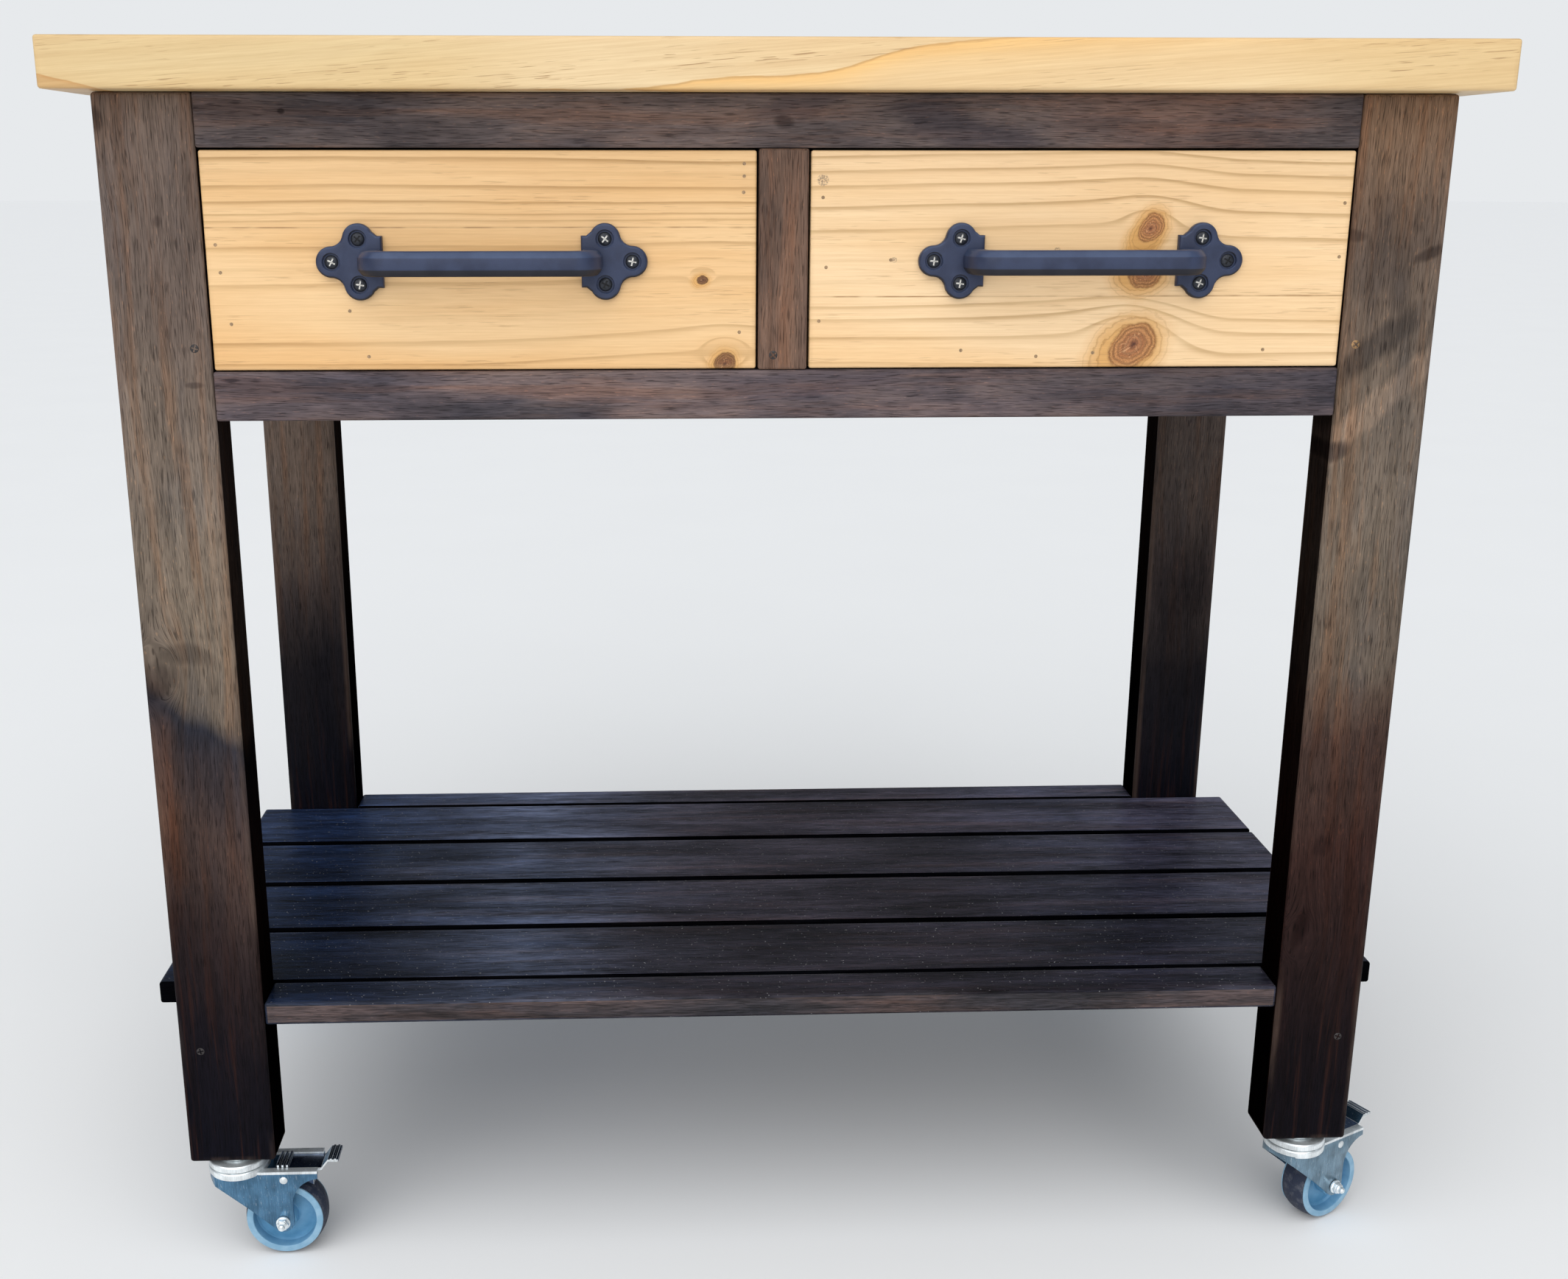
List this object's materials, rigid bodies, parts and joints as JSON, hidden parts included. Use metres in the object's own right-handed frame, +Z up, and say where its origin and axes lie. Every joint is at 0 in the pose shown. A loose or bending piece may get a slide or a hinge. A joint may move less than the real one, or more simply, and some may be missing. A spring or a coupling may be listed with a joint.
{
  "type": "kitchen trolley",
  "caption": "Kitchen trolley with a thick pine top, inset pine drawers with cast pulls, a dark stained frame with a slatted shelf, and swivel castors with foot brakes.",
  "frame": {"origin": "on the floor under the middle of the frame", "axes": "+X to the right seen from the front, +Y from the front to the back, +Z up; the drawers open towards -Y"},
  "size_m": [0.9969, 0.5195, 0.9258],
  "materials": {
    "top_pine": "clear satin varnish over pale pine",
    "drawer_pine": "clear satin varnish over knotty pine",
    "raw_pine": "planed, unfinished",
    "dark_stain": "dark satin stain that shows the grain",
    "cast_black": "satin blue-black coat",
    "zinc": "bright zinc plating",
    "rim_plastic": "moulded grey",
    "tyre_rubber": "matt dark rubber"
  },
  "bodies": {
    "frame": {"top_board_1": "top_pine", "top_board_2": "top_pine", "top_board_3": "top_pine", "top_board_4": "top_pine", "leg_front_left": "dark_stain", "leg_front_right": "dark_stain", "leg_rear_left": "dark_stain", "leg_rear_right": "dark_stain", "front_top_rail": "dark_stain", "front_bottom_rail": "dark_stain", "front_divider": "dark_stain", "rear_apron": "dark_stain", "side_apron_left": "dark_stain", "side_apron_right": "dark_stain", "lower_side_rail_left": "dark_stain", "lower_side_rail_right": "dark_stain", "slat_1": "dark_stain", "slat_2": "dark_stain", "slat_3": "dark_stain", "slat_4": "dark_stain", "slat_5": "dark_stain", "slat_6": "dark_stain", "drawer_runner_left": "raw_pine", "drawer_runner_right": "raw_pine", "drawer_runner_centre": "raw_pine", "castor_front_left_stem": "zinc", "castor_front_right_stem": "zinc", "castor_rear_left_stem": "zinc", "castor_rear_right_stem": "zinc"},
    "drawer_left": {"drawer_left_front": "drawer_pine", "drawer_left_side_left": "raw_pine", "drawer_left_side_right": "raw_pine", "drawer_left_back": "raw_pine", "drawer_left_bottom": "raw_pine", "drawer_left_pull": "cast_black"},
    "drawer_right": {"drawer_right_front": "drawer_pine", "drawer_right_side_left": "raw_pine", "drawer_right_side_right": "raw_pine", "drawer_right_back": "raw_pine", "drawer_right_bottom": "raw_pine", "drawer_right_pull": "cast_black"},
    "swivel_front_left": {"castor_front_left_fork": "zinc", "castor_front_left_axle": "zinc"},
    "swivel_front_right": {"castor_front_right_fork": "zinc", "castor_front_right_axle": "zinc"},
    "swivel_rear_left": {"castor_rear_left_fork": "zinc", "castor_rear_left_axle": "zinc"},
    "swivel_rear_right": {"castor_rear_right_fork": "zinc", "castor_rear_right_axle": "zinc"},
    "wheel_front_left": {"castor_front_left_rim": "rim_plastic", "castor_front_left_tyre": "tyre_rubber"},
    "wheel_front_right": {"castor_front_right_rim": "rim_plastic", "castor_front_right_tyre": "tyre_rubber"},
    "wheel_rear_left": {"castor_rear_left_rim": "rim_plastic", "castor_rear_left_tyre": "tyre_rubber"},
    "wheel_rear_right": {"castor_rear_right_rim": "rim_plastic", "castor_rear_right_tyre": "tyre_rubber"},
    "brake_front_left": {"castor_front_left_pedal": "zinc"},
    "brake_front_right": {"castor_front_right_pedal": "zinc"}
  },
  "joints": [
    {"name": "drawer_left_slide", "type": "slide", "parent": "frame", "child": "drawer_left", "axis": [0, -1, 0], "range_m": [0, 0.28]},
    {"name": "drawer_right_slide", "type": "slide", "parent": "frame", "child": "drawer_right", "axis": [0, -1, 0], "range_m": [0, 0.28]},
    {"name": "castor_front_left_swivel", "type": "hinge", "parent": "frame", "child": "swivel_front_left", "pos_m": [-0.427, -0.206, 0.08], "axis": [0, 0, 1], "continuous": true},
    {"name": "castor_front_right_swivel", "type": "hinge", "parent": "frame", "child": "swivel_front_right", "pos_m": [0.427, -0.206, 0.08], "axis": [0, 0, 1], "continuous": true},
    {"name": "castor_rear_left_swivel", "type": "hinge", "parent": "frame", "child": "swivel_rear_left", "pos_m": [-0.427, 0.206, 0.08], "axis": [0, 0, 1], "continuous": true},
    {"name": "castor_rear_right_swivel", "type": "hinge", "parent": "frame", "child": "swivel_rear_right", "pos_m": [0.427, 0.206, 0.08], "axis": [0, 0, 1], "continuous": true},
    {"name": "wheel_front_left_spin", "type": "hinge", "parent": "swivel_front_left", "child": "wheel_front_left", "pos_m": [-0.392, -0.206, 0.0325], "axis": [0, 1, 0], "continuous": true},
    {"name": "wheel_front_right_spin", "type": "hinge", "parent": "swivel_front_right", "child": "wheel_front_right", "pos_m": [0.4579, -0.18957, 0.0325], "axis": [-0.4695, 0.8829, 0], "continuous": true},
    {"name": "wheel_rear_left_spin", "type": "hinge", "parent": "swivel_rear_left", "child": "wheel_rear_left", "pos_m": [-0.462, 0.206, 0.0325], "axis": [0, -1, 0], "continuous": true},
    {"name": "wheel_rear_right_spin", "type": "hinge", "parent": "swivel_rear_right", "child": "wheel_rear_right", "pos_m": [0.39669, 0.2235, 0.0325], "axis": [-0.5, -0.866, 0], "continuous": true},
    {"name": "brake_front_left_press", "type": "hinge", "parent": "swivel_front_left", "child": "brake_front_left", "pos_m": [-0.3895, -0.206, 0.0705], "axis": [0, 1, 0], "range_deg": [0, 10]},
    {"name": "brake_front_right_press", "type": "hinge", "parent": "swivel_front_right", "child": "brake_front_right", "pos_m": [0.46011, -0.18839, 0.0705], "axis": [-0.4695, 0.8829, 0], "range_deg": [0, 10]}
  ]
}
